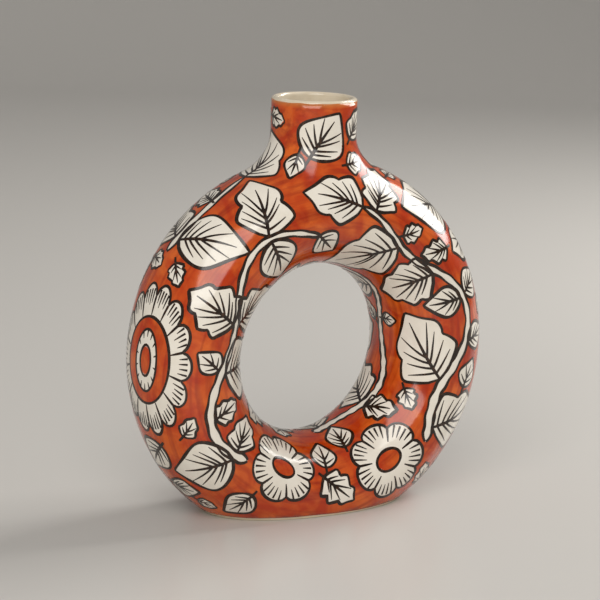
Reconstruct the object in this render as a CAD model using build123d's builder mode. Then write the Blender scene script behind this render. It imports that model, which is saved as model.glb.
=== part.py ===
from build123d import *
from math import atan2, cos, degrees, radians, sin, sqrt, tan
import os

# Ring vase: a hollow ceramic ring that stands on a flat oval foot, with a short round neck on top.
# Two half shells meet on the ring's middle plane. A neck with a saddle closes the hole at the top
# and an oval slab closes the flat cut at the bottom. One glaze coats the outside, another the inside.
# Origin: centre of the foot, on the table. +X across the ring, +Y to the back, +Z up. Millimetres.

# Outside of the finished vase, over the glaze
ring_mean_radius = 85.0
foot_length = 133.0
tube_height = 65.4
tube_depth = 79.0
neck_diameter = 52.0
neck_rise = 35.2
neck_root_radius = 24.0

# Turn of the flare from upright to where it meets the ring, along the ring and across it, in degrees
flare_turn_along = 59.0
flare_turn_across = 33.0

# Clay and glaze
clay_wall = 3.4
glaze_thickness = 0.5
foot_slab_thickness = 7.0
foot_edge_rounding = 1.2
foot_rim_width = 9.0
foot_recess_depth = 1.5
lip_rounding = 1.4
lip_band_height = 2.4
dry_foot_height = 2.5

# Saddle of the neck: half length along the ring in neck radii, half width in half tube depths
saddle_length_share = 1.6
saddle_width_share = 0.8

# Oval tube section of four arcs, whose centres lie on sides of 3 to 4, as shares of depth over height
side_centre_share = 2.0
crown_drop_share = 1.5

# Levels of the flare's sections, as shares of its height, and its buried end as a share of the half tube
flare_level_shares = (0, 0.17, 0.34, 0.5, 0.67, 0.84, 1)
flare_bottom_share = 0.35

# Values that follow from the sizes above
half_height = tube_height / 2
half_depth = tube_depth / 2
extra_depth = half_depth - half_height
side_centre = extra_depth * side_centre_share
crown_drop = extra_depth * crown_drop_share
tube_side_radius = half_depth - side_centre
tube_crown_radius = half_height + crown_drop
join_angle = degrees(atan2(crown_drop_share, side_centre_share))
ring_centre_height = sqrt((ring_mean_radius + half_height) ** 2 - (foot_length / 2) ** 2)
tube_centre_height = ring_centre_height + ring_mean_radius
overall_height = tube_centre_height + half_height + neck_rise
neck_radius = neck_diameter / 2
clay_top = overall_height - glaze_thickness
cavity_inset = glaze_thickness + clay_wall
lining_inset = cavity_inset + glaze_thickness
lining_floor = foot_slab_thickness + glaze_thickness
lip_band_bottom = overall_height - lip_band_height
open_top = overall_height + clay_wall
ring_axis = Axis((0, 0, ring_centre_height), (0, 1, 0))

# Heights where the flare leaves the straight neck, along the ring and across it
reach_along = neck_radius + neck_root_radius * (1 - cos(radians(flare_turn_along)))
reach_across = neck_radius + neck_root_radius * (1 - cos(radians(flare_turn_across)))
meet_along = ring_centre_height + sqrt((ring_mean_radius + half_height) ** 2 - reach_along**2)
meet_across = tube_centre_height - crown_drop + sqrt(tube_crown_radius**2 - reach_across**2)
start_along = meet_along + neck_root_radius * sin(radians(flare_turn_along))
start_across = meet_across + neck_root_radius * sin(radians(flare_turn_across))
flare_bottom = tube_centre_height + half_height * flare_bottom_share


# Half width of the flare at a level: straight neck, then an arc, then on in a straight line
def flare_half_width(level, start, turn, inset):
    drop = start - level
    radius = neck_root_radius + inset
    arc_drop = radius * sin(radians(turn))
    if drop <= 0:
        return neck_radius - inset
    if drop <= arc_drop:
        return neck_radius + neck_root_radius - sqrt(radius**2 - drop**2)
    arc_end = neck_radius + neck_root_radius - radius * cos(radians(turn))
    return arc_end + (drop - arc_drop) * tan(radians(turn))


# The vase's closed form, drawn in by inset all over, with its neck up to top and cut flat at floor
def vase_form(inset, floor, top):
    bottom_centre = ring_centre_height - ring_mean_radius
    side_radius = tube_side_radius - inset
    crown_radius = tube_crown_radius - inset
    crown_arc = 180 - 2 * join_angle
    with BuildPart() as form:
        with BuildSketch(Plane.YZ):
            with BuildLine():
                CenterArc((side_centre, bottom_centre), side_radius, -join_angle, 2 * join_angle)
                CenterArc((0, bottom_centre - crown_drop), crown_radius, join_angle, crown_arc)
                CenterArc((-side_centre, bottom_centre), side_radius, 180 - join_angle, 2 * join_angle)
                CenterArc((0, bottom_centre + crown_drop), crown_radius, 180 + join_angle, crown_arc)
            make_face()
        revolve(axis=ring_axis)
        with BuildPart(mode=Mode.PRIVATE) as neck_form:
            for share in flare_level_shares:
                level = flare_bottom + share * (start_along - flare_bottom)
                with BuildSketch(Plane.XY.offset(level)):
                    Ellipse(
                        flare_half_width(level, start_along, flare_turn_along, inset),
                        flare_half_width(level, start_across, flare_turn_across, inset),
                    )
            loft()
            with BuildSketch(Plane.XY.offset(start_along)):
                Circle(neck_radius - inset)
            extrude(amount=top - start_along)
        add(neck_form.part)
        split(bisect_by=Plane.XY.offset(floor), keep=Keep.TOP)
    return form.part


glazed_form = vase_form(0, 0, overall_height)
clay_form = vase_form(glaze_thickness, 0, clay_top)
cavity_form = vase_form(cavity_inset, foot_slab_thickness, open_top)
lining_form = vase_form(lining_inset, lining_floor, open_top)

# Column that cuts the neck and its saddle out of the top of the ring
with BuildPart() as saddle_column:
    with BuildSketch(Plane.XY.offset(tube_centre_height)):
        Ellipse(neck_radius * saddle_length_share, half_depth * saddle_width_share)
    extrude(amount=open_top - tube_centre_height)

# Ring of clay without neck and foot, before it is parted into its two halves
with BuildPart() as ring_shell:
    add(clay_form)
    add(cavity_form, mode=Mode.SUBTRACT)
    add(saddle_column.part, mode=Mode.SUBTRACT)
    split(bisect_by=Plane.XY.offset(foot_slab_thickness), keep=Keep.TOP)

# Front half shell: open at the back, where it is luted to the other half
with BuildPart() as front_half_shell:
    add(ring_shell.part)
    split(bisect_by=Plane.XZ, keep=Keep.TOP)

# Back half shell: the same moulding turned round
with BuildPart() as back_half_shell:
    add(ring_shell.part)
    split(bisect_by=Plane.XZ, keep=Keep.BOTTOM)

# Neck: a straight tube that flares into a saddle, with a rounded lip
with BuildPart() as neck:
    add(clay_form)
    add(cavity_form, mode=Mode.SUBTRACT)
    add(saddle_column.part, mode=Mode.INTERSECT)
    fillet(neck.faces().sort_by(Axis.Z)[-1].edges(), lip_rounding)

# Foot slab: closes the bottom of both shells and stands on a flat rim round a shallow recess
with BuildPart() as foot_slab:
    add(clay_form)
    split(bisect_by=Plane.XY.offset(foot_slab_thickness), keep=Keep.BOTTOM)
    underside = foot_slab.faces().sort_by(Axis.Z)[0]
    foot_size = underside.bounding_box().size
    fillet(underside.edges(), foot_edge_rounding)
    with BuildSketch(Plane.XY):
        Ellipse(foot_size.X / 2 - foot_rim_width, foot_size.Y / 2 - foot_rim_width)
    extrude(amount=foot_recess_depth, mode=Mode.SUBTRACT)

# Outer glaze: even coat from just above the table to just below the lip
with BuildPart() as outer_glaze:
    add(glazed_form)
    add(clay_form, mode=Mode.SUBTRACT)
    split(bisect_by=Plane.XY.offset(dry_foot_height), keep=Keep.TOP)
    split(bisect_by=Plane.XY.offset(lip_band_bottom), keep=Keep.BOTTOM)

# Liner glaze: coats the hollow and the bore, then runs over the lip and a little way down the outside
with BuildPart() as liner_glaze:
    with BuildSketch(Plane.XY.offset(lip_band_bottom)):
        Circle(neck_radius)
        Circle(neck_radius - lining_inset, mode=Mode.SUBTRACT)
    extrude(amount=lip_band_height)
    fillet(liner_glaze.faces().sort_by(Axis.Z)[-1].edges(), lip_rounding + glaze_thickness)
    add(neck.part, mode=Mode.SUBTRACT)
    with BuildPart(mode=Mode.PRIVATE) as lining:
        add(cavity_form)
        add(lining_form, mode=Mode.SUBTRACT)
        split(bisect_by=Plane.XY.offset(lip_band_bottom), keep=Keep.BOTTOM)
    add(lining.part)

front_half_shell.part.label = "front_half_shell"
back_half_shell.part.label = "back_half_shell"
neck.part.label = "neck"
foot_slab.part.label = "foot_slab"
outer_glaze.part.label = "outer_glaze"
liner_glaze.part.label = "liner_glaze"

os.makedirs("parts", exist_ok=True)
export_step(front_half_shell.part, "parts/front_half_shell.step")
export_step(back_half_shell.part, "parts/back_half_shell.step")
export_step(neck.part, "parts/neck.step")
export_step(foot_slab.part, "parts/foot_slab.step")
export_step(outer_glaze.part, "parts/outer_glaze.step")
export_step(liner_glaze.part, "parts/liner_glaze.step")
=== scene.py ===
import math

import bmesh
import bpy
import numpy as np
from mathutils import Matrix, Vector
from mathutils.kdtree import KDTree


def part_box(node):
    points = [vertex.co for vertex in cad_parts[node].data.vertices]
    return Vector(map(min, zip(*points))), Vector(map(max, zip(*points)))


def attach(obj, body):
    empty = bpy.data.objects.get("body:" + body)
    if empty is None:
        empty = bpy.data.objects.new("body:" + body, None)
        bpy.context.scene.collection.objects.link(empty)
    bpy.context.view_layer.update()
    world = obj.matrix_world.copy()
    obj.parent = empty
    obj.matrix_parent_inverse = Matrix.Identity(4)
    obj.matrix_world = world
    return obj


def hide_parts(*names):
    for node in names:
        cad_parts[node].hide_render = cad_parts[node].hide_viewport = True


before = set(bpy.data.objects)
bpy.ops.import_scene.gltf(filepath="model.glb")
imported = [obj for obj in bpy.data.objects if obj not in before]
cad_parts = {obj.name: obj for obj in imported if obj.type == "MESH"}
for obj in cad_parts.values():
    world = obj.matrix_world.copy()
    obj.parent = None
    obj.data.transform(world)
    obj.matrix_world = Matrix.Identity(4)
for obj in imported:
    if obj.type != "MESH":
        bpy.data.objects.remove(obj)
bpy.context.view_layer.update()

# Clay body: two half shells of the ring, the neck with its saddle, and the oval foot slab.
# Pressed from buff earthenware and luted with slip. Only the dry foot shows below the glaze.
MM = 0.001
CLAY_LIGHT = "#EADFC8"
CLAY_DARK = "#D6C6A6"
CLAY_CLOUD = 14 * MM
CLAY_GRIT = 0.9 * MM  # coarser than the real grit, so that it shows
GRIT_DEPTH = 0.1 * MM
CLAY_EDGE_ANGLE = math.radians(30)
MIX_FIRST, MIX_SECOND, MIX_RESULT = 6, 7, 2  # places of the Mix node's colour sockets


def linear(colour):
    """sRGB hex to linear RGBA."""
    parts = [int(colour[i : i + 2], 16) / 255 for i in (1, 3, 5)]
    return [c / 12.92 if c <= 0.04045 else ((c + 0.055) / 1.055) ** 2.4 for c in parts] + [1.0]


def add_node(material, kind, inputs, **settings):
    """Adds a node, sets its properties, then its sockets: a socket is linked, a value is set."""
    tree = material.node_tree
    node = tree.nodes.new(kind)
    for name, value in settings.items():
        setattr(node, name, value)
    for name, value in inputs.items():
        if isinstance(value, bpy.types.NodeSocket):
            tree.links.new(value, node.inputs[name])
        else:
            node.inputs[name].default_value = value
    return node


def new_material(name):
    material = bpy.data.materials.new(name)
    material.use_nodes = True
    material.node_tree.nodes.clear()
    return material


# Fired earthenware: dry and matt, with fine grit and slightly uneven colour from the kiln
fired_earthenware = new_material("fired_earthenware")
place = add_node(fired_earthenware, "ShaderNodeTexCoord", {}).outputs["Object"]
cloud = add_node(
    fired_earthenware,
    "ShaderNodeTexNoise",
    {"Vector": place, "Scale": 1 / CLAY_CLOUD, "Detail": 4.0},
).outputs["Fac"]
grit = add_node(
    fired_earthenware,
    "ShaderNodeTexNoise",
    {"Vector": place, "Scale": 1 / CLAY_GRIT, "Detail": 2.0},
).outputs["Fac"]
clay_tone = add_node(
    fired_earthenware,
    "ShaderNodeMix",
    {"Factor": cloud, MIX_FIRST: linear(CLAY_DARK), MIX_SECOND: linear(CLAY_LIGHT)},
    data_type="RGBA",
).outputs[MIX_RESULT]
clay_grain = add_node(
    fired_earthenware,
    "ShaderNodeBump",
    {"Height": grit, "Strength": 0.25, "Distance": GRIT_DEPTH},
).outputs["Normal"]
clay_shader = add_node(
    fired_earthenware,
    "ShaderNodeBsdfPrincipled",
    {"Base Color": clay_tone, "Roughness": 0.8, "IOR": 1.5, "Normal": clay_grain},
)
add_node(fired_earthenware, "ShaderNodeOutputMaterial", {"Surface": clay_shader.outputs["BSDF"]})
for clay_node in ("front_half_shell", "back_half_shell", "neck", "foot_slab"):
    clay_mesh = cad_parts[clay_node].data
    clay_mesh.materials.clear()
    clay_mesh.materials.append(fired_earthenware)
    clay_mesh.shade_smooth()
    clay_mesh.set_sharp_from_angle(angle=CLAY_EDGE_ANGLE)

# Outer glaze: the ground of the decoration, orange underglaze laid on with a wide brush round the
# leaves, under a clear gloss. It covers the ring and neck from the dry foot to just below the lip.
coat_low, coat_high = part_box("outer_glaze")
RING_OUTER = (coat_high.x - coat_low.x) / 2
TUBE_HALF_DEPTH = (coat_high.y - coat_low.y) / 2
TUBE_HALF_HEIGHT = 32.7 * MM
RING_MEAN = RING_OUTER - TUBE_HALF_HEIGHT
FOOT_HALF_LENGTH = 66.5 * MM
RING_CENTRE = math.sqrt(RING_OUTER**2 - FOOT_HALF_LENGTH**2)
NECK_RADIUS = 26 * MM
NECK_BLEND = 16 * MM
NECK_BOTTOM = RING_CENTRE + RING_MEAN + NECK_BLEND + MM
EXTRA_DEPTH = TUBE_HALF_DEPTH - TUBE_HALF_HEIGHT
SIDE_CENTRE = 2 * EXTRA_DEPTH
CROWN_DROP = 1.5 * EXTRA_DEPTH
SIDE_RADIUS = TUBE_HALF_DEPTH - SIDE_CENTRE
CROWN_RADIUS = TUBE_HALF_HEIGHT + CROWN_DROP
JOIN_ANGLE = math.atan2(CROWN_DROP, SIDE_CENTRE)
PAINT_DEPTH = 0.3 * MM
GLAZE_THICKNESS = 0.18 * MM
LIP_OVERLAP = 0.95 * MM
LIP_WAVE = 0.1 * MM
FOOT_WIPE = 0.75 * MM
CUT_TOLERANCE = 0.001 * MM
PROBE_STEP = 0.02 * MM
ROUND_STEPS = 300
SECTION_STEPS = 96
CROWN_STEPS = 60
SIDE_STEPS = 80
NECK_PATCH_ROUND = 22
NECK_PATCH_SECTION = 17
FLARE_ROWS = 24
FLARE_ROUNDS = 6
NECK_ROWS = 7
FLARE_TOP = 231 * MM


def body_distance(points, inset):
    """Distance outside the vase drawn in by inset: ring and neck, joined by a round blend."""
    x, y, z = points.T
    across = np.abs(y)
    out = np.abs(np.hypot(x, z - RING_CENTRE) - RING_MEAN)
    from_crown = np.hypot(across, out + CROWN_DROP) - CROWN_RADIUS
    from_side = np.hypot(across - SIDE_CENTRE, out) - SIDE_RADIUS
    on_crown = (out + CROWN_DROP) * SIDE_CENTRE > across * CROWN_DROP
    ring = np.where(on_crown, from_crown, from_side) + inset
    neck = np.maximum(np.hypot(x, y) - NECK_RADIUS, NECK_BOTTOM - z) + inset
    blend = NECK_BLEND + inset
    corner = np.hypot(np.maximum(blend - ring, 0), np.maximum(blend - neck, 0))
    return np.maximum(blend, np.minimum(ring, neck)) - corner


def unit(vectors):
    """Vectors of length one. A least length keeps vanishing ones from dividing by zero."""
    return vectors / np.maximum(np.linalg.norm(vectors, axis=1, keepdims=True), 1e-12)


def surface_state(points, inset):
    """Distance outside the surface, and the outward normal, at each point."""
    steps = [sign * d for d in np.eye(3) * PROBE_STEP for sign in (1, -1)]
    probes = np.concatenate([points] + [points + step for step in steps])
    here, *beside = body_distance(probes, inset).reshape(1 + len(steps), -1)
    normals = np.stack([beside[k] - beside[k + 1] for k in (0, 2, 4)], 1)
    return here, unit(normals)


def onto_surface(points, inset, rounds=3):
    for _ in range(rounds):
        height, normals = surface_state(points, inset)
        points = points - normals * height[:, None]
    return points


def section_table():
    """Half of the tube's oval, from its outer pole round the front to its inner pole, by length."""
    crown = np.linspace(0, math.pi / 2 - JOIN_ANGLE, CROWN_STEPS)
    side = np.linspace(JOIN_ANGLE, -JOIN_ANGLE, SIDE_STEPS)[1:-1]
    crown_front = CROWN_RADIUS * np.sin(crown)
    crown_out = CROWN_RADIUS * np.cos(crown) - CROWN_DROP
    side_front = SIDE_CENTRE + SIDE_RADIUS * np.cos(side)
    front = np.concatenate([crown_front, side_front, crown_front[::-1]])
    out = np.concatenate([crown_out, SIDE_RADIUS * np.sin(side), -crown_out[::-1]])
    length = np.concatenate([[0], np.cumsum(np.hypot(np.diff(front), np.diff(out)))])
    return front, out, length


section_front, section_out, section_length = section_table()
HALF_GIRTH = section_length[-1]


def ring_points(turn, girth):
    """Points on the ring: turn is clockwise from the top, girth from the outer pole forward."""
    girth = (np.asarray(girth) + HALF_GIRTH) % (2 * HALF_GIRTH) - HALF_GIRTH
    front = -np.sign(girth) * np.interp(np.abs(girth), section_length, section_front)
    radius = RING_MEAN + np.interp(np.abs(girth), section_length, section_out)
    return np.stack([radius * np.sin(turn), front, RING_CENTRE + radius * np.cos(turn)], -1)


def cut_at_floor(mesh, floor, close):
    """Cuts off what lies below the floor, and closes the cut if asked."""
    work = bmesh.new()
    work.from_mesh(mesh)
    cut = bmesh.ops.bisect_plane(
        work,
        geom=work.verts[:] + work.edges[:] + work.faces[:],
        plane_co=(0, 0, floor),
        plane_no=(0, 0, 1),
        clear_inner=True,
    )
    if close:
        rim = [e for e in cut["geom_cut"] if isinstance(e, bmesh.types.BMEdge)]
        bmesh.ops.holes_fill(work, edges=rim, sides=0)
    loose = [v for v in work.verts if not v.link_faces]
    bmesh.ops.delete(work, geom=loose, context="VERTS")
    bmesh.ops.recalc_face_normals(work, faces=work.faces[:])
    work.to_mesh(mesh)
    work.free()


def vase_sheet(name, inset, floor, neck_rows, close_floor):
    """One skin of the vase: the ring's grid, open under the neck, then rows up flare and neck."""
    turns = np.arange(ROUND_STEPS) * 2 * math.pi / ROUND_STEPS
    girths = np.arange(SECTION_STEPS) * 2 * HALF_GIRTH / SECTION_STEPS
    grid = ring_points(turns[:, None], girths[None, :] + np.zeros((ROUND_STEPS, 1)))
    points = [onto_surface(grid.reshape(-1, 3), inset)]
    a, b = NECK_PATCH_ROUND, NECK_PATCH_SECTION

    def index(i, j):
        return (i % ROUND_STEPS) * SECTION_STEPS + j % SECTION_STEPS

    faces = []
    for i in range(-ROUND_STEPS // 2, ROUND_STEPS // 2):
        for j in range(-SECTION_STEPS // 2, SECTION_STEPS // 2):
            if not (-a <= i < a and -b <= j < b):
                faces.append((index(i, j), index(i, j + 1), index(i + 1, j + 1), index(i + 1, j)))
    loop = [(i, b) for i in range(-a, a)] + [(a, j) for j in range(b, -b, -1)]
    loop += [(i, -b) for i in range(a, -a, -1)] + [(-a, j) for j in range(-b, b)]
    previous = [index(i, j) for i, j in loop]
    start = points[0][previous]
    angle = np.arctan2(start[:, 1], start[:, 0])
    reach = np.hypot(start[:, 0], start[:, 1])
    neck_radius = NECK_RADIUS - inset
    for k in range(1, FLARE_ROWS + 1):
        share = k / FLARE_ROWS * math.pi / 2
        radius = neck_radius + (reach - neck_radius) * (1 - math.sin(share))
        level = start[:, 2] + (FLARE_TOP - start[:, 2]) * (1 - math.cos(share))
        row = np.stack([radius * np.cos(angle), radius * np.sin(angle), level], 1)
        points.append(onto_surface(row, inset, FLARE_ROUNDS))
    for radius, level in neck_rows:
        level = level(angle) if callable(level) else np.full_like(angle, level)
        points.append(np.stack([radius * np.cos(angle), radius * np.sin(angle), level], 1))
    count = ROUND_STEPS * SECTION_STEPS
    for row in points[1:]:
        current = list(range(count, count + len(loop)))
        for k in range(len(loop)):
            following = (k + 1) % len(loop)
            faces.append((previous[k], previous[following], current[following], current[k]))
        previous = current
        count += len(loop)
    mesh = bpy.data.meshes.new(name)
    mesh.from_pydata(np.concatenate(points).tolist(), [], faces)
    cut_at_floor(mesh, floor, close_floor)
    return mesh


def new_object(name, mesh, material):
    mesh.materials.append(material)
    mesh.shade_smooth()
    thing = bpy.data.objects.new(name, mesh)
    bpy.context.scene.collection.objects.link(thing)
    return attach(thing, "root")


def vertex_array(mesh):
    flat = np.zeros(len(mesh.vertices) * 3)
    mesh.vertices.foreach_get("co", flat)
    return flat.reshape(-1, 3)


def wavy_lip(angle):
    """The brushed upper edge of the orange, which wanders a little round the neck."""
    waves = np.sin(3 * angle + 1) + np.sin(7 * angle) + np.sin(13 * angle + 2)
    return coat_high.z + LIP_OVERLAP + LIP_WAVE * waves


def foot_drop(angle):
    """How far the wiped lower edge of the orange hangs below its even level, round the foot."""
    waves = 0.6 * np.sin(angle + 2.6) + 0.3 * np.sin(4 * angle) + 0.1 * np.sin(11 * angle)
    return FOOT_WIPE * (1 + waves)


# Orange underglaze under clear gloss: brush streaks run round the tube, and the colour pools darker
# where strokes overlap, thins to a paler orange where the brush ran dry, and is wiped at the lip
ORANGE_DEEP = "#861801"
ORANGE_MID = "#B13404"
ORANGE_THIN = "#D1601E"
ORANGE_WIPED = "#C07A40"
STREAK_WIDTH = 3.6 * MM
STREAK_SLANT = 0.1
STREAK_RUN = 12 * MM
STROKE_PATCH = 16 * MM
POOLED_MOST = 0.7
WIPED_HEIGHT = 2.2 * MM
WIPED_MOST = 0.8
HAND_WAVE = 22 * MM
HAND_WAVE_DEPTH = 1.2 * MM
GLOSS_ROUGHNESS = 0.13
GLOSS_IOR = 1.5


def clear_gloss(material, place, tone):
    """Clear gloss over a colour. The slight waviness of the hand-made form is the same under each
    paint, so that reflections run on from one to the next."""
    wave = add_node(
        material,
        "ShaderNodeTexNoise",
        {"Vector": place, "Scale": 1 / HAND_WAVE, "Detail": 2.0},
    ).outputs["Fac"]
    uneven = add_node(
        material,
        "ShaderNodeBump",
        {"Height": wave, "Strength": 0.35, "Distance": HAND_WAVE_DEPTH},
    ).outputs["Normal"]
    shader = add_node(
        material,
        "ShaderNodeBsdfPrincipled",
        {"Base Color": tone, "Roughness": GLOSS_ROUGHNESS, "IOR": GLOSS_IOR, "Normal": uneven},
    )
    add_node(material, "ShaderNodeOutputMaterial", {"Surface": shader.outputs["BSDF"]})


def orange_underglaze(name):
    material = new_material(name)
    place = add_node(material, "ShaderNodeTexCoord", {}).outputs["Object"]
    brush = add_node(material, "ShaderNodeAttribute", {}, attribute_name="brush").outputs["Vector"]
    streak = add_node(
        material,
        "ShaderNodeTexNoise",
        {"Vector": brush, "Scale": 1 / STREAK_WIDTH, "Detail": 2.0, "Roughness": 0.45},
    ).outputs["Fac"]
    patch = add_node(
        material,
        "ShaderNodeTexNoise",
        {"Vector": place, "Scale": 1 / STROKE_PATCH, "Detail": 3.0, "Distortion": 0.6},
    ).outputs["Fac"]
    thin = add_node(
        material,
        "ShaderNodeMapRange",
        {"Value": patch, "From Min": 0.38, "From Max": 0.66},
    ).outputs["Result"]
    body = add_node(
        material,
        "ShaderNodeMix",
        {"Factor": thin, MIX_FIRST: linear(ORANGE_MID), MIX_SECOND: linear(ORANGE_THIN)},
        data_type="RGBA",
    ).outputs[MIX_RESULT]
    pooled = add_node(
        material,
        "ShaderNodeMapRange",
        {"Value": streak, "From Min": 0.46, "From Max": 0.74, "To Max": POOLED_MOST},
    ).outputs["Result"]
    tone = add_node(
        material,
        "ShaderNodeMix",
        {"Factor": pooled, MIX_FIRST: body, MIX_SECOND: linear(ORANGE_DEEP)},
        data_type="RGBA",
    ).outputs[MIX_RESULT]
    height = add_node(material, "ShaderNodeSeparateXYZ", {"Vector": place}).outputs["Z"]
    wiped_lip = add_node(
        material,
        "ShaderNodeMapRange",
        {
            "Value": height,
            "From Min": coat_high.z - WIPED_HEIGHT,
            "From Max": coat_high.z + MM,
            "To Max": WIPED_MOST,
        },
    ).outputs["Result"]
    worn = add_node(
        material,
        "ShaderNodeMix",
        {"Factor": wiped_lip, MIX_FIRST: tone, MIX_SECOND: linear(ORANGE_WIPED)},
        data_type="RGBA",
    ).outputs[MIX_RESULT]
    clear_gloss(material, place, worn)
    return material


def paint_brush(mesh):
    """Brush coordinates: fine across the strokes, which run round the ring, and slow along them."""
    co = vertex_array(mesh)
    turn = np.arctan2(co[:, 0], co[:, 2] - RING_CENTRE)
    radius = np.hypot(co[:, 0], co[:, 2] - RING_CENTRE)
    across = radius + STREAK_SLANT * co[:, 0]
    deep = co[:, 1] + STREAK_SLANT * co[:, 2]
    brush = np.stack([across, deep, STREAK_RUN * np.sin(turn)], 1)
    mesh.attributes.new("brush", "FLOAT_VECTOR", "POINT").data.foreach_set("vector", brush.ravel())


straight_levels = np.linspace(FLARE_TOP, coat_high.z, NECK_ROWS + 1)[1:-1]
coat_rows = [(NECK_RADIUS - PAINT_DEPTH, level) for level in straight_levels]
coat_rows.append((NECK_RADIUS - PAINT_DEPTH, wavy_lip))
coat_mesh = vase_sheet("outer_glaze_coat", PAINT_DEPTH, coat_low.z, coat_rows, False)
coat_points = vertex_array(coat_mesh)
wiped = np.abs(coat_points[:, 2] - coat_low.z) < CUT_TOLERANCE
coat_points[wiped, 2] -= foot_drop(np.arctan2(coat_points[wiped, 1], coat_points[wiped, 0]))
coat_points[wiped] = onto_surface(coat_points[wiped], PAINT_DEPTH)
coat_mesh.vertices.foreach_set("co", coat_points.ravel())
paint_brush(coat_mesh)
outer_coat = new_object(
    "outer_glaze_coat", coat_mesh, orange_underglaze("orange_underglaze_gloss")
)
# Shading normals of the true surface, so that the gloss runs evenly across ground and paint
coat_normals = surface_state(vertex_array(coat_mesh), PAINT_DEPTH)[1]
coat_mesh.normals_split_custom_set_from_vertices(coat_normals.tolist())
coat_thickness = outer_coat.modifiers.new("glaze_thickness", "SOLIDIFY")
coat_thickness.thickness = GLAZE_THICKNESS
coat_thickness.offset = -1
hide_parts("outer_glaze")

# Painted foliage: cream stems, leaves and flowers left light on the orange ground, then drawn round
# and veined freehand with a dark liner brush. All of it lies under the same clear gloss.
CREAM_FILL = "#ECE7DD"
CREAM_SHADE = "#DED6C7"
CREAM_CLOUD = 9 * MM
LINE_DARK = "#1E1107"
LINE_THIN = "#472C16"
LINE_DRY_SPOT = 2.2 * MM
FILL_LIFT = 0.11 * MM
EYE_RIM_LIFT = 0.115 * MM
EYE_LIFT = 0.13 * MM
BUD_LIFT = 0.145 * MM
BUD_EYE_LIFT = 0.155 * MM
LINE_EDGE_LIFT = 0.165 * MM
LINE_LIFT = 0.2 * MM
EDGE_SINK = 0.05 * MM
FILL_STEP = 2.2 * MM
LINE_STEP = 1.5 * MM
LINE_WIDTH = 1.8 * MM
WALK_STEPS = 16
TRIAL_STEPS = 8
rng = np.random.default_rng(11)
fills, eyes, lines = ({"points": [], "normals": [], "faces": [], "count": 0} for _ in range(3))
taken = np.zeros((0, 3))


def walk(base, heading, flat, steps=WALK_STEPS):
    """Lays flat points on the surface: each walks from base its own way, bending with the form."""
    up = surface_state(base[None], PAINT_DEPTH)[1][0]
    ahead = heading - up * heading.dot(up)
    ahead /= np.linalg.norm(ahead)
    left = np.cross(up, ahead)
    length = np.maximum(np.hypot(flat[:, 0], flat[:, 1]), 1e-9)
    way = (flat[:, :1] * ahead + flat[:, 1:] * left) / length[:, None]
    stride = (length / steps)[:, None]
    spot = np.repeat(base[None], len(flat), 0)
    for _ in range(steps):
        spot = spot + way * stride
        height, normal = surface_state(spot, PAINT_DEPTH)
        spot = spot - normal * height[:, None]
        way = unit(way - normal * (way * normal).sum(1, keepdims=True))
    height, normal = surface_state(spot, PAINT_DEPTH)
    return spot - normal * height[:, None], normal


def lay(paint, points, normals, lifts, faces):
    paint["points"].append(points + normals * lifts[:, None])
    paint["normals"].append(normals)
    paint["faces"] += [tuple(i + paint["count"] for i in face) for face in faces]
    paint["count"] += len(points)


def resample(path, step, closed):
    """The same polyline in even steps."""
    if closed:
        path = np.concatenate([path, path[:1]])
    along = np.concatenate([[0], np.cumsum(np.hypot(*np.diff(path, axis=0).T))])
    count = max(4, math.ceil(along[-1] / step))
    at = np.linspace(0, along[-1], count + 1)
    if closed:
        at = at[:-1]
    return np.stack([np.interp(at, along, values) for values in path.T], 1)


def patch_strip(outline, centre, lift, rim_lift=-EDGE_SINK):
    """A patch of paint with a star-shaped outline, in rings round its centre, thin at its rim."""
    outline = resample(outline, LINE_STEP, True)
    spokes = outline - centre
    rings = max(2, math.ceil(np.hypot(*spokes.T).max() / FILL_STEP))
    shares = np.linspace(0, 1, rings + 1)[1:]
    flat = np.concatenate([centre[None]] + [centre + spokes * share for share in shares])
    n = len(outline)
    lifts = np.full(len(flat), lift)
    lifts[-n:] = rim_lift
    faces = [(0, 1 + k, 1 + (k + 1) % n) for k in range(n)]
    for inner in 1 + n * np.arange(rings - 1):
        for k in range(n):
            following = (k + 1) % n
            outer = inner + n
            faces.append((inner + k, outer + k, outer + following, inner + following))
    return flat, lifts, faces


def brush_strip(path, widths, closed=False):
    """A stroke of the liner brush along a flat path, crowned a little in the middle."""
    path = resample(path, LINE_STEP, closed)
    n = len(path)
    widths = np.interp(np.linspace(0, 1, n), np.linspace(0, 1, len(widths)), widths)
    if closed:
        tangent = np.roll(path, -1, 0) - np.roll(path, 1, 0)
    else:
        tangent = np.gradient(path, axis=0)
    tangent = unit(tangent)
    side = np.stack([-tangent[:, 1], tangent[:, 0]], 1) * widths[:, None] / 2
    flat = np.concatenate([path + side, path, path - side])
    lifts = np.repeat([LINE_EDGE_LIFT, LINE_LIFT, LINE_EDGE_LIFT], n)
    faces = []
    for k in range(n if closed else n - 1):
        following = (k + 1) % n
        faces.append((n + k, n + following, following, k))
        faces.append((2 * n + k, 2 * n + following, n + following, n + k))
    return flat, lifts, faces


def paint_motif(base, heading, layers):
    """Walks all patches and strokes of one motif onto the surface and lays each in its paint."""
    points, normals = walk(base, heading, np.concatenate([flat for _, (flat, _, _) in layers]))
    start = 0
    for paint, (flat, lifts, faces) in layers:
        part = slice(start, start + len(flat))
        lay(paint, points[part], normals[part], lifts, faces)
        start += len(flat)


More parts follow.
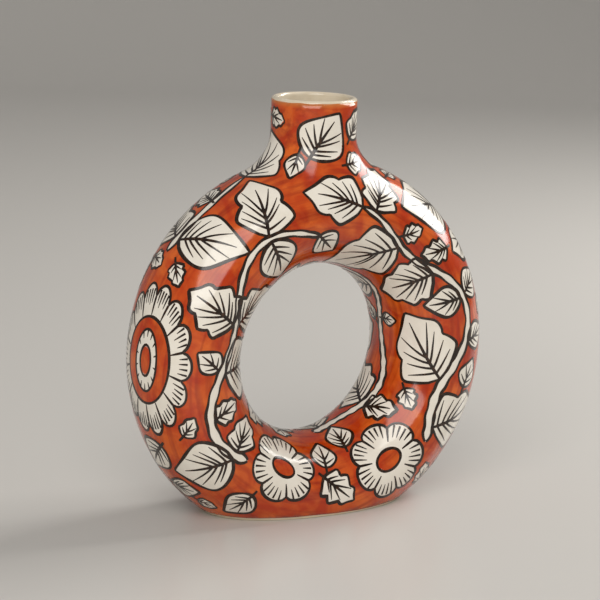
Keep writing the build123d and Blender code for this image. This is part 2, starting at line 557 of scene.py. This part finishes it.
# Open flowers in the wide places, low on each limb and on the outer sides. Sizes are shares of the
# radius. Weights are the thinnest and thickest share of a full line and how often it changes, and
# a taper is its share from the start of a stroke to the end.
PETAL_POINTS = 10
FLOWER_COVER = (1, 0.8, 0.6, 0.4, 0.2)
PETAL_SCALLOP = 0.18
PETAL_FULLNESS = 0.6
FLOWER_SLIP = 0.4 * MM
PETAL_WEIGHTS = (0.75, 1.3, 16)
EYE_WEIGHTS = (0.75, 1.2, 10)
BUD_WEIGHTS = (0.7, 1.0, 8)
EYE_ROUND, EYE_FLAT = 1, 0.7
SINGLE_EYE, DOUBLE_EYE = 0.36, 0.56
SINGLE_DASHES, DOUBLE_DASHES = 0.56, 0.68
DASH_DRIFT = 0.1
DASH_START, SEAM_START = 0.92, 0.82
BUD, BUD_EYE = 0.4, 0.2
BUD_DASH_START, BUD_DASH_END = 0.39, 0.3
PETAL_DASHES = (-0.27, -0.09, 0.09, 0.27)
DASH_TAPER = np.array([0.75, 0.6, 0.25])
SEAM_TAPER = np.array([0.95, 0.8, 0.4])
BUD_DASH_TAPER = np.array([0.7, 0.5, 0.25])


def paint_flower(base, heading, radius, stretch, petals, double):
    """Scalloped cream petals with fine dashes in from the rim, round a brushed orange eye."""
    global taken
    angle = np.linspace(0, 2 * math.pi, petals * PETAL_POINTS, endpoint=False)
    round_shape = np.stack([stretch * np.cos(angle), np.sin(angle)], 1)
    scallop = np.abs(np.sin(angle * petals / 2))[:, None] ** PETAL_FULLNESS
    outline = round_shape * radius * (1 - PETAL_SCALLOP + PETAL_SCALLOP * scallop)
    slip = rng.uniform(-FLOWER_SLIP, FLOWER_SLIP, 2)
    centre = np.zeros(2)
    layers = [(fills, patch_strip(outline + slip, slip, FILL_LIFT))]

    def draw_round(shape, weights):
        widths = LINE_WIDTH * rng.uniform(*weights)
        layers.append((lines, brush_strip(shape, widths, closed=True)))

    def draw_inward(turn, flatness, outer, inner, taper):
        toward = [stretch * math.cos(turn), flatness * math.sin(turn)]
        stroke = np.outer(np.array([outer, inner]) * radius, toward)
        layers.append((lines, brush_strip(stroke, LINE_WIDTH * taper)))

    draw_round(outline, PETAL_WEIGHTS)
    if double:
        eye = round_shape * radius * DOUBLE_EYE
    else:
        eye = round_shape * radius * SINGLE_EYE * [EYE_ROUND, EYE_FLAT]
    layers.append((eyes, patch_strip(eye, centre, EYE_LIFT, EYE_RIM_LIFT)))
    draw_round(eye, EYE_WEIGHTS)
    if double:
        for paint, share, lift, rim_lift in (
            (fills, BUD, BUD_LIFT, EYE_LIFT),
            (eyes, BUD_EYE, BUD_EYE_LIFT, BUD_LIFT),
        ):
            bud = round_shape * radius * share * [EYE_ROUND, EYE_FLAT]
            layers.append((paint, patch_strip(bud, centre, lift, rim_lift)))
            draw_round(bud, BUD_WEIGHTS)
        for turn in np.arange(petals) * 2 * math.pi / petals:
            draw_inward(turn, EYE_FLAT, BUD_DASH_START, BUD_DASH_END, BUD_DASH_TAPER)
    inner = DOUBLE_DASHES if double else SINGLE_DASHES
    for k in range(petals):
        for offset in PETAL_DASHES:
            turn = 2 * math.pi * (k + 0.5 + offset) / petals
            end = inner + rng.uniform(0, DASH_DRIFT)
            draw_inward(turn, EYE_ROUND, DASH_START, end, DASH_TAPER)
        seam = 2 * math.pi * k / petals
        draw_inward(seam, EYE_ROUND, SEAM_START, inner - DASH_DRIFT, SEAM_TAPER)
    paint_motif(base, heading, layers)
    covered = np.concatenate([outline * share for share in FLOWER_COVER])
    taken = np.concatenate([taken, walk(base, heading, covered)[0]])


# Turn from the top in degrees, girth as a share of the half girth, radius, stretch, petals, double
FLOWERS = (
    (150, 0.58, 24 * MM, 1.0, 7, False),
    (-151, 0.62, 21.5 * MM, 1.1, 6, False),
    (-88, 0.1, 31 * MM, 1.5, 14, True),
    (92, -0.06, 30 * MM, 1.4, 12, True),
    (150, -0.6, 23 * MM, 1.0, 7, False),
    (-151, -0.58, 22 * MM, 1.1, 6, False),
)
FLOWER_AIM = 6  # degrees further up the ring, toward which a flower's top points
for turn, girth_share, radius, stretch, petals, double in FLOWERS:
    girth = np.full(2, girth_share * HALF_GIRTH)
    upward = turn - FLOWER_AIM * np.sign(turn)
    middle, above = ring_points(np.radians([turn, upward]), girth)
    middle_on = onto_surface(middle[None], PAINT_DEPTH)[0]
    paint_flower(middle_on, above - middle, radius, stretch, petals, double)

# Stems that climb each limb of the ring, thinning upward, with a slow sway and an uneven edge.
# The liner brush follows both edges. Waves are in radians, per radian of the ring or per step.
STEM_WIDE = 6 * MM
STEM_NARROW = 3.2 * MM
STEM_STEPS_PER_DEGREE = 0.9
STEM_WAVES = 4.8
STEM_UNEVEN = 0.12
STEM_EDGE_WAVE = 0.9
STEM_PEN_WAVE = 0.37
STEM_WEIGHT = 0.9
STEM_WEIGHT_CHANGE = 0.25
STEM_END_STEPS = 3
STEM_END_LEAST = 0.02
STEM_FLAT_SHARE = 0.4
RIBBON_ROUNDS = 2


def surface_sides(path):
    """Unit directions across a path on the surface, to its left."""
    return unit(np.cross(surface_state(path, PAINT_DEPTH)[1], np.gradient(path, axis=0)))


def lay_ribbon(paint, rows, lifts):
    """Lays a ribbon of paint from rows of points that run side by side along the surface."""
    n = len(rows[0])
    points = onto_surface(np.concatenate(rows), PAINT_DEPTH, RIBBON_ROUNDS)
    faces = []
    for row in range(0, (len(rows) - 1) * n, n):
        for k in range(row, row + n - 1):
            faces.append((k + n, k + n + 1, k + 1, k))
    lay(paint, points, surface_state(points, PAINT_DEPTH)[1], np.repeat(lifts, n), faces)


def paint_stem(path):
    """Cream stem along points on the surface, with rounded ends, drawn along both edges."""
    global taken
    path = onto_surface(path, PAINT_DEPTH)
    side = surface_sides(path)
    n = len(path)
    step = np.arange(n)
    uneven = 1 + STEM_UNEVEN * np.sin(step * STEM_EDGE_WAVE)
    half = np.linspace(STEM_WIDE, STEM_NARROW, n) / 2 * uneven
    from_end = np.minimum(step, step[::-1]) / STEM_END_STEPS
    half *= np.sqrt(np.clip(from_end, STEM_END_LEAST, 1))
    weight = STEM_WEIGHT + STEM_WEIGHT_CHANGE * np.sin(step * STEM_PEN_WAVE)
    pen = LINE_WIDTH / 2 * weight[:, None]
    reach = side * half[:, None]
    left, right = path + reach, path - reach
    flat = STEM_FLAT_SHARE * reach
    fill_rows = (left, path + flat, path - flat, right)
    lay_ribbon(fills, fill_rows, (-EDGE_SINK, FILL_LIFT, FILL_LIFT, -EDGE_SINK))
    for edge in (left, right):
        across = surface_sides(edge) * pen
        line_rows = (edge + across, edge, edge - across)
        lay_ribbon(lines, line_rows, (LINE_EDGE_LIFT, LINE_LIFT, LINE_EDGE_LIFT))
    taken = np.concatenate([taken, path])
    return path, np.gradient(path, axis=0), side, half


# Turn at root and end in degrees, then girth and sway as shares of the half girth
STEMS = (
    (62, 22, 0.02, 0.05),
    (-56, -24, 0.0, 0.05),
    (132, 8, 0.5, 0.08),
    (-132, -12, 0.52, -0.08),
    (134, 12, -0.5, 0.08),
    (-132, -8, -0.5, -0.08),
    (176, 16, 0.95, 0.04),
    (-170, -10, 0.98, 0.04),
)
stems = []
for root, end, girth_share, wave in STEMS:
    turns = np.radians(np.linspace(root, end, round(abs(root - end) * STEM_STEPS_PER_DEGREE)))
    sway = np.sin(STEM_WAVES * np.abs(turns - turns[0])) * wave
    stems.append(paint_stem(ring_points(turns, (girth_share + sway) * HALF_GIRTH)))

# Leaves on both sides of each stem and at its end, and a ring of leaves that stand round the neck.
# Each is tried in a few sizes and leans until it fits on the ground that is still free.
LEAF_LENGTH = 46 * MM
LEAF_SPACING = 29 * MM
LEAF_GAP = 3.3 * MM
LEAF_POINTS = 31
LEAF_BELLY, LEAF_ROUNDNESS, LOBE_ROUNDNESS = 0.68, 0.75, 0.7
LOBE_SWEEP = 0.03
LEFT_SIDE = 0.96
LEAF_CENTRE = 0.42
LEAF_CENTRE_BEND = 0.18
LEAF_COVER = (1, 0.66, 0.33)
LEAF_SLIP = 0.5 * MM
LEAF_WEIGHTS = (0.7, 1.4, 12)
LEAF_NOTCHES = (0.16, 0.34)
LEAF_BREADTHS = (0.76, 1.0)
LEAF_BEND = 0.14
LEAF_SIZES = (1.0, 0.9, 0.8, 0.7, 0.6, 0.5)
LEAF_LEANS = (0, 15, -15, 30, -30)
END_LEAF = 0.85
SMALLER_LEAF = 0.8
FIRST_LEAF = 0.3 * LEAF_SPACING
LEAF_FORWARD, LEAF_ASIDE = 0.6, 0.8
LEAF_VARIES = (0.9, 1.08)
FOOT_MARGIN = 2.5 * MM
LIP_MARGIN = 3 * MM
FULL_PEN_LENGTH = 50 * MM
LEAST_PEN = 0.5
RIB_POINTS = 9
RIB_ENDS = (0.74, 0.86)
RIB_TAPER = np.array([0.9, 1.2, 1.05, 0.8, 0.3])
FOUR_VEINS_FROM, THREE_VEINS_FROM = 30 * MM, 20 * MM
VEIN_POINTS = 6
VEIN_FIRST, VEIN_SPAN, VEIN_DRIFT = 0.2, 0.62, 0.03
VEIN_SLOPE, VEIN_BACK, VEIN_CURVE = 0.5, 0.04, 0.85
VEIN_REACHES = (0.66, 0.8)
VEIN_TAPER = np.array([0.85, 0.75, 0.55, 0.25])
NECK_LEAVES = 4
NECK_LEAF_TURN = 0.62
NECK_LEAF_REACH = 1.1 * NECK_RADIUS
NECK_LEAF_FOOT = 217 * MM
NECK_LEAF_LENGTH = 32 * MM
NECK_LEAF_GAP = 3.2 * MM
NECK_LEAF_STALK = 5 * MM
FAR_ROUNDS = 5


def leaf_breadth(s, lobes, notch):
    """Half width of a lobed leaf along its length, as a share of its greatest."""
    lobed = 1 - notch + notch * np.abs(np.sin(lobes * math.pi * s)) ** LOBE_ROUNDNESS
    return np.sin(math.pi * s**LEAF_BELLY) ** LEAF_ROUNDNESS * lobed


def leaf_outline(length, width, lobes, notch, bend):
    """Outline of a lobed leaf from its base to its tip and back, along a bent middle rib."""
    s = np.linspace(0, 1, LEAF_POINTS)[1:-1]
    half = width / 2 * leaf_breadth(s, lobes, notch)
    swept = length * (s + LOBE_SWEEP * np.sin(2 * lobes * math.pi * s))
    right = np.stack([swept, -half], 1)
    left = np.stack([swept, half * LEFT_SIDE], 1)[::-1]
    outline = np.concatenate([[[0, 0]], right, [[length, 0]], left])
    outline[:, 1] += bend * length * (outline[:, 0] / length) ** 2
    return outline


def leaf_layers(outline, length, width, lobes, notch, bend, stalk):
    """Cream leaf, brushed outline a little off the fill, middle rib, and veins to the lobes."""
    slip = rng.uniform(-LEAF_SLIP, LEAF_SLIP, 2)
    centre = np.array([LEAF_CENTRE * length, bend * length * LEAF_CENTRE_BEND])
    pen = LINE_WIDTH * min(1, LEAST_PEN + length / FULL_PEN_LENGTH)
    layers = [(fills, patch_strip(outline + slip, centre + slip, FILL_LIFT))]
    widths = pen * rng.uniform(*LEAF_WEIGHTS)
    layers.append((lines, brush_strip(outline, widths, closed=True)))
    rib = np.linspace(-stalk / length, rng.uniform(*RIB_ENDS), RIB_POINTS)
    rib_path = np.stack([rib * length, bend * length * rib**2], 1)
    layers.append((lines, brush_strip(rib_path, pen * RIB_TAPER)))
    veins = 2 + (length > THREE_VEINS_FROM) + (length > FOUR_VEINS_FROM)
    for hand in (-1, 1):
        for k in range(veins):
            drift = rng.uniform(-VEIN_DRIFT, VEIN_DRIFT)
            end = VEIN_FIRST + VEIN_SPAN * (k + 0.5) / veins + drift
            start = end * VEIN_SLOPE - VEIN_BACK
            breadth = leaf_breadth(end, lobes, notch)
            tip = hand * width / 2 * breadth * rng.uniform(*VEIN_REACHES)
            s = np.linspace(0, 1, VEIN_POINTS)
            x = (start + (end - start) * s) * length
            y = tip * s**VEIN_CURVE + bend * length * (x / length) ** 2
            layers.append((lines, brush_strip(np.stack([x, y], 1), pen * VEIN_TAPER)))
    return layers


def is_free(base, points, gap):
    """True if no paint laid so far is nearer than gap to any of these points."""
    reach = np.linalg.norm(points - base, axis=1).max() + gap
    near = taken[(np.abs(taken - base) < reach).all(1)]
    if not len(near):
        return True
    return np.linalg.norm(near[None] - points[:, None], axis=2).min() > gap


def try_leaf(base, heading, length, gap=LEAF_GAP, clear_from=0.3, stalk=0.0):
    """Paints a leaf if it fits, clear of other paint beyond a share of its length, and says so."""
    global taken
    up = Vector(surface_state(base[None], PAINT_DEPTH)[1][0])
    lobes = int(rng.integers(1, 4))
    notch = rng.uniform(*LEAF_NOTCHES)
    breadth = rng.uniform(*LEAF_BREADTHS)
    bend = rng.uniform(-LEAF_BEND, LEAF_BEND)
    for size in LEAF_SIZES:
        long = length * size
        form = (long, long * breadth, lobes, notch, bend)
        outline = leaf_outline(*form)
        tested = outline[outline[:, 0] >= clear_from * long][::2]
        for lean in LEAF_LEANS:
            turned = np.array(Matrix.Rotation(math.radians(lean), 3, up) @ Vector(heading))
            points = walk(base, turned, tested, TRIAL_STEPS)[0]
            levels = points[:, 2]
            if levels.min() < coat_low.z + FOOT_MARGIN or levels.max() > coat_high.z - LIP_MARGIN:
                continue
            if is_free(base, points, gap):
                paint_motif(base, turned, leaf_layers(outline, *form, stalk))
                middle = np.array([LEAF_CENTRE * long, 0])
                spokes = outline - middle
                covered = np.concatenate([middle + spokes * share for share in LEAF_COVER])
                taken = np.concatenate([taken, walk(base, turned, covered, TRIAL_STEPS)[0]])
                return True
    return False


for path, tangent, side, half in stems:
    steps = np.linalg.norm(np.diff(path, axis=0), axis=1)
    along = np.concatenate([[0], np.cumsum(steps)])
    try_leaf(path[-1], tangent[-1], LEAF_LENGTH * END_LEAF)
    for count, at in enumerate(np.arange(FIRST_LEAF, along[-1], LEAF_SPACING)):
        k = int(np.searchsorted(along, at))
        forward = tangent[k] / np.linalg.norm(tangent[k])
        hand = 1 if count % 2 else -1
        for which, length in ((hand, LEAF_LENGTH), (-hand, LEAF_LENGTH * SMALLER_LEAF)):
            base = onto_surface((path[k] + side[k] * which * half[k])[None], PAINT_DEPTH)[0]
            heading = forward * LEAF_FORWARD + side[k] * which * LEAF_ASIDE
            try_leaf(base, heading, length * rng.uniform(*LEAF_VARIES))
for k in range(NECK_LEAVES):
    angle = 2 * math.pi * (k + NECK_LEAF_TURN) / NECK_LEAVES
    sideways = np.array([math.cos(angle), math.sin(angle)]) * NECK_LEAF_REACH
    foot = np.array([[*sideways, NECK_LEAF_FOOT]])
    try_leaf(
        onto_surface(foot, PAINT_DEPTH, FAR_ROUNDS)[0],
        np.array([0, 0, 1.0]),
        NECK_LEAF_LENGTH,
        gap=NECK_LEAF_GAP,
        clear_from=0.1,
        stalk=NECK_LEAF_STALK,
    )

# Last, small loose leaves where the most ground is still bare, until the gaps between the motifs
# are about as wide as a brush stroke.
FILLER_ROOM = 8 * MM
FILLER_TRIES = 240
FILLER_REACH = 2.4
FILLER_BACK = 0.45
FILLER_GAP = 2.8 * MM
FILLER_STALK = 4 * MM
FILLER_MARGIN = 5 * MM
ground = vertex_array(coat_mesh)[::2]
above_foot = ground[:, 2] > coat_low.z + FILLER_MARGIN
below_lip = ground[:, 2] < coat_high.z - FILLER_MARGIN
ground = ground[above_foot & below_lip]
painted_spots = KDTree(len(taken))
for k, spot in enumerate(taken):
    painted_spots.insert(spot, k)
painted_spots.balance()
room = np.array([painted_spots.find(spot)[2] for spot in ground])
for _ in range(FILLER_TRIES):
    k = int(room.argmax())
    if room[k] < FILLER_ROOM:
        break
    up = surface_state(ground[k][None], PAINT_DEPTH)[1][0]
    heading = rng.uniform(-1, 1, 3)
    heading -= up * heading.dot(up)
    heading /= np.linalg.norm(heading)
    size = min(room[k] * FILLER_REACH, LEAF_LENGTH)
    root = ground[k] - heading * size * FILLER_BACK
    base = onto_surface(root[None], PAINT_DEPTH, FAR_ROUNDS)[0]
    laid = len(taken)
    if try_leaf(base, heading, size, gap=FILLER_GAP, clear_from=-1, stalk=FILLER_STALK):
        close = np.linalg.norm(ground - ground[k], axis=1) < 2 * size + room[k]
        to_leaf = np.linalg.norm(ground[close][:, None] - taken[laid:][None], axis=2)
        room[close] = np.minimum(room[close], to_leaf.min(1))
    else:
        room[k] = 0


def painted_object(name, paint, material):
    mesh = bpy.data.meshes.new(name)
    mesh.from_pydata(np.concatenate(paint["points"]).tolist(), [], paint["faces"])
    thing = new_object(name, mesh, material)
    mesh.normals_split_custom_set_from_vertices(np.concatenate(paint["normals"]).tolist())
    return thing


# Cream slip under clear gloss: nearly even, a little warmer where it lies thin over the clay
cream_slip = new_material("cream_slip_gloss")
place = add_node(cream_slip, "ShaderNodeTexCoord", {}).outputs["Object"]
thin_spots = add_node(
    cream_slip,
    "ShaderNodeTexNoise",
    {"Vector": place, "Scale": 1 / CREAM_CLOUD, "Detail": 4.0},
).outputs["Fac"]
slip_tone = add_node(
    cream_slip,
    "ShaderNodeMix",
    {"Factor": thin_spots, MIX_FIRST: linear(CREAM_FILL), MIX_SECOND: linear(CREAM_SHADE)},
    data_type="RGBA",
).outputs[MIX_RESULT]
clear_gloss(cream_slip, place, slip_tone)

# Iron liner under clear gloss: nearly black where the brush was full, brown where it ran dry
iron_liner = new_material("iron_liner_gloss")
place = add_node(iron_liner, "ShaderNodeTexCoord", {}).outputs["Object"]
dry_spots = add_node(
    iron_liner,
    "ShaderNodeTexNoise",
    {"Vector": place, "Scale": 1 / LINE_DRY_SPOT, "Detail": 3.0},
).outputs["Fac"]
dry = add_node(
    iron_liner,
    "ShaderNodeMapRange",
    {"Value": dry_spots, "From Min": 0.5, "From Max": 0.78},
).outputs["Result"]
line_tone = add_node(
    iron_liner,
    "ShaderNodeMix",
    {"Factor": dry, MIX_FIRST: linear(LINE_DARK), MIX_SECOND: linear(LINE_THIN)},
    data_type="RGBA",
).outputs[MIX_RESULT]
clear_gloss(iron_liner, place, line_tone)
painted_object("painted_leaves_and_stems", fills, cream_slip)
flower_eyes = painted_object("painted_flower_eyes", eyes, orange_underglaze("orange_eye_gloss"))
paint_brush(flower_eyes.data)
painted_object("painted_brush_lines", lines, iron_liner)

# Liner glaze: plain cream glaze, poured in and out again. It coats the hollow and the bore and runs
# over the rounded lip, and its lower edge outside lies under the orange.
CREAM_GLAZE = "#DCD2BF"
CREAM_POOL = "#C9BA9F"
GLAZE_CLOUD = 7 * MM
CLAY_WALL = 3.4 * MM
COAT = 0.5 * MM
LINING = 2 * COAT + CLAY_WALL
LINING_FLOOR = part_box("liner_glaze")[0].z
lip_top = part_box("liner_glaze")[1].z
LIP_ROUND = 1.9 * MM
LIP_TUCK = ((0.05 * MM, 0.5 * MM), (0.25 * MM, 2 * MM))  # in and down, under the orange
BORE_ROWS = 8
LIP_ROWS = 8
bore = NECK_RADIUS - LINING
lip_outside = NECK_RADIUS - PAINT_DEPTH
lip_start = lip_top - LIP_ROUND
quarter_turn = np.linspace(0, math.pi / 2, LIP_ROWS)
lip_rows = [(bore, level) for level in np.linspace(FLARE_TOP, lip_start, BORE_ROWS)[1:]]
for angle in quarter_turn[1:]:
    fall = LIP_ROUND * (1 - math.sin(angle))
    lip_rows.append((bore + LIP_ROUND * (1 - math.cos(angle)), lip_top - fall))
for angle in quarter_turn[::-1]:
    fall = LIP_ROUND * (1 - math.sin(angle))
    lip_rows.append((lip_outside - LIP_ROUND * (1 - math.cos(angle)), lip_top - fall))
for inward, down in LIP_TUCK:
    lip_rows.append((lip_outside - inward, coat_high.z - down))

# Poured cream glaze: a glossy coat, deeper in colour where it gathered as it ran
cream_glaze = new_material("poured_cream_glaze")
place = add_node(cream_glaze, "ShaderNodeTexCoord", {}).outputs["Object"]
pooling = add_node(
    cream_glaze,
    "ShaderNodeTexNoise",
    {"Vector": place, "Scale": 1 / GLAZE_CLOUD, "Detail": 4.0},
).outputs["Fac"]
glaze_tone = add_node(
    cream_glaze,
    "ShaderNodeMix",
    {"Factor": pooling, MIX_FIRST: linear(CREAM_GLAZE), MIX_SECOND: linear(CREAM_POOL)},
    data_type="RGBA",
).outputs[MIX_RESULT]
clear_gloss(cream_glaze, place, glaze_tone)
liner_mesh = vase_sheet("liner_glaze_coat", LINING, LINING_FLOOR, lip_rows, True)
liner_coat = new_object("liner_glaze_coat", liner_mesh, cream_glaze)
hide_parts("liner_glaze")

# Studio: a pale round floor of satin vinyl that sweeps up all round, so that no view has an edge in
# it. A tall soft key light stands on the right, and a wide weak fill behind the camera.
FLOOR_COLOUR = "#C6C3BE"
FLOOR_CENTRE = 0.01
FLOOR_RADIUS = 2.0
FLOOR_STEPS = 96
SWEEP_RADIUS = 0.9
SWEEP_STEPS = 24
WORLD_COLOUR = "#E2E1E0"
WORLD_STRENGTH = 0.36
MIDDLE = (0, 0, 0.125)
sweep = [(FLOOR_CENTRE, 0.0), (FLOOR_RADIUS, 0.0)]
for angle in np.linspace(0, math.pi / 2, SWEEP_STEPS)[1:]:
    rise = SWEEP_RADIUS * (1 - math.cos(angle))
    sweep.append((FLOOR_RADIUS + SWEEP_RADIUS * math.sin(angle), rise))
floor_points = []
for radius, level in sweep:
    for angle in np.arange(FLOOR_STEPS) * 2 * math.pi / FLOOR_STEPS:
        floor_points.append((radius * math.cos(angle), radius * math.sin(angle), level))
floor_faces = [tuple(range(FLOOR_STEPS))]
for row in range(len(sweep) - 1):
    inner, outer = row * FLOOR_STEPS, (row + 1) * FLOOR_STEPS
    for k in range(FLOOR_STEPS):
        following = (k + 1) % FLOOR_STEPS
        floor_faces.append((inner + k, outer + k, outer + following, inner + following))
floor_mesh = bpy.data.meshes.new("floor")
floor_mesh.from_pydata(floor_points, [], floor_faces)
floor_mesh.shade_smooth()
floor = bpy.data.objects.new("floor", floor_mesh)
bpy.context.scene.collection.objects.link(floor)

# Satin vinyl: even and pale, with a faint sheen that mirrors the foot softly
satin_vinyl = new_material("satin_vinyl")
floor_shader = add_node(
    satin_vinyl,
    "ShaderNodeBsdfPrincipled",
    {"Base Color": linear(FLOOR_COLOUR), "Roughness": 0.32, "IOR": 1.45},
)
add_node(satin_vinyl, "ShaderNodeOutputMaterial", {"Surface": floor_shader.outputs["BSDF"]})
floor_mesh.materials.append(satin_vinyl)


def soft_light(name, place, width, height, watts, colour):
    """Rectangular lamp that faces the middle of the vase."""
    lamp = bpy.data.lights.new(name, "AREA")
    lamp.shape = "RECTANGLE"
    lamp.size = width
    lamp.size_y = height
    lamp.energy = watts
    lamp.color = linear(colour)[:3]
    holder = bpy.data.objects.new(name, lamp)
    holder.location = place
    facing = Vector(MIDDLE) - Vector(place)
    holder.rotation_euler = facing.to_track_quat("-Z", "Y").to_euler()
    bpy.context.scene.collection.objects.link(holder)


soft_light("key", (1.4, 0.15, 1.0), width=0.85, height=1.2, watts=26, colour="#FFFDFA")
soft_light("fill", (-1.2, -1.6, 1.5), width=1.8, height=1.8, watts=44, colour="#FFFCF8")
world = bpy.data.worlds.new("studio")
bpy.context.scene.world = world
world.use_nodes = True
background = world.node_tree.nodes["Background"]
background.inputs["Color"].default_value = linear(WORLD_COLOUR)
background.inputs["Strength"].default_value = WORLD_STRENGTH

# Camera at the photograph's angle: a long lens, a little above the middle of the vase and to its
# left, rolled slightly, with no depth of field.
CAMERA_AZIMUTH = math.radians(-30.87)
CAMERA_ELEVATION = math.radians(11.46)
CAMERA_DISTANCE = 1.6
CAMERA_YAW = math.radians(0.18)
CAMERA_PITCH = math.radians(-0.03)
CAMERA_ROLL = math.radians(1.75)
SENSOR_WIDTH = 36.0
FOCAL_PIXELS = 2640.6
IMAGE_PIXELS = 600


def outward(azimuth, elevation):
    """Direction from the vase to a place at this azimuth and elevation."""
    level = math.cos(elevation)
    return Vector((math.sin(azimuth) * level, -math.cos(azimuth) * level, math.sin(elevation)))


back = outward(CAMERA_AZIMUTH + CAMERA_YAW, CAMERA_ELEVATION + CAMERA_PITCH)
right = Vector((0, 0, 1)).cross(back).normalized()
above = back.cross(right)
rolled_right = right * math.cos(CAMERA_ROLL) + above * math.sin(CAMERA_ROLL)
rolled_above = above * math.cos(CAMERA_ROLL) - right * math.sin(CAMERA_ROLL)
camera_data = bpy.data.cameras.new("camera")
camera_data.sensor_width = SENSOR_WIDTH
camera_data.lens = FOCAL_PIXELS / IMAGE_PIXELS * SENSOR_WIDTH
camera = bpy.data.objects.new("camera", camera_data)
bpy.context.scene.collection.objects.link(camera)
camera_place = Vector(MIDDLE) + outward(CAMERA_AZIMUTH, CAMERA_ELEVATION) * CAMERA_DISTANCE
camera_turn = Matrix((rolled_right, rolled_above, back)).transposed().to_4x4()
camera.matrix_world = Matrix.Translation(camera_place) @ camera_turn
bpy.context.scene.camera = camera
bpy.context.scene.view_settings.view_transform = "Standard"
